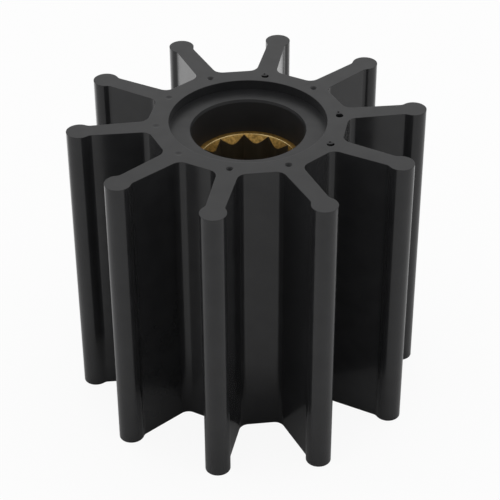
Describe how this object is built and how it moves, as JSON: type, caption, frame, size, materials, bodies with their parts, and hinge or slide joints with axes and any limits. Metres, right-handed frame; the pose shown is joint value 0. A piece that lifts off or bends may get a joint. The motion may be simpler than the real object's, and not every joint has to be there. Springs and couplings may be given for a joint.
{
  "type": "flexible pump impeller",
  "caption": "Flexible rubber pump impeller with straight radial vanes that end in round bulbs, moulded round a splined brass drive insert.",
  "frame": {"origin": "middle of the lower end face, on the turning axis", "axes": "+Z along the turning axis, towards the end face with the gate marks; +X along the middle line of the first vane"},
  "size_m": [0.095, 0.0906, 0.0825],
  "materials": {
    "rubber": "satin black moulded rubber",
    "brass": "machined brass"
  },
  "bodies": {
    "root": {"rubber_body": "rubber", "spline_insert": "brass"}
  },
  "joints": []
}
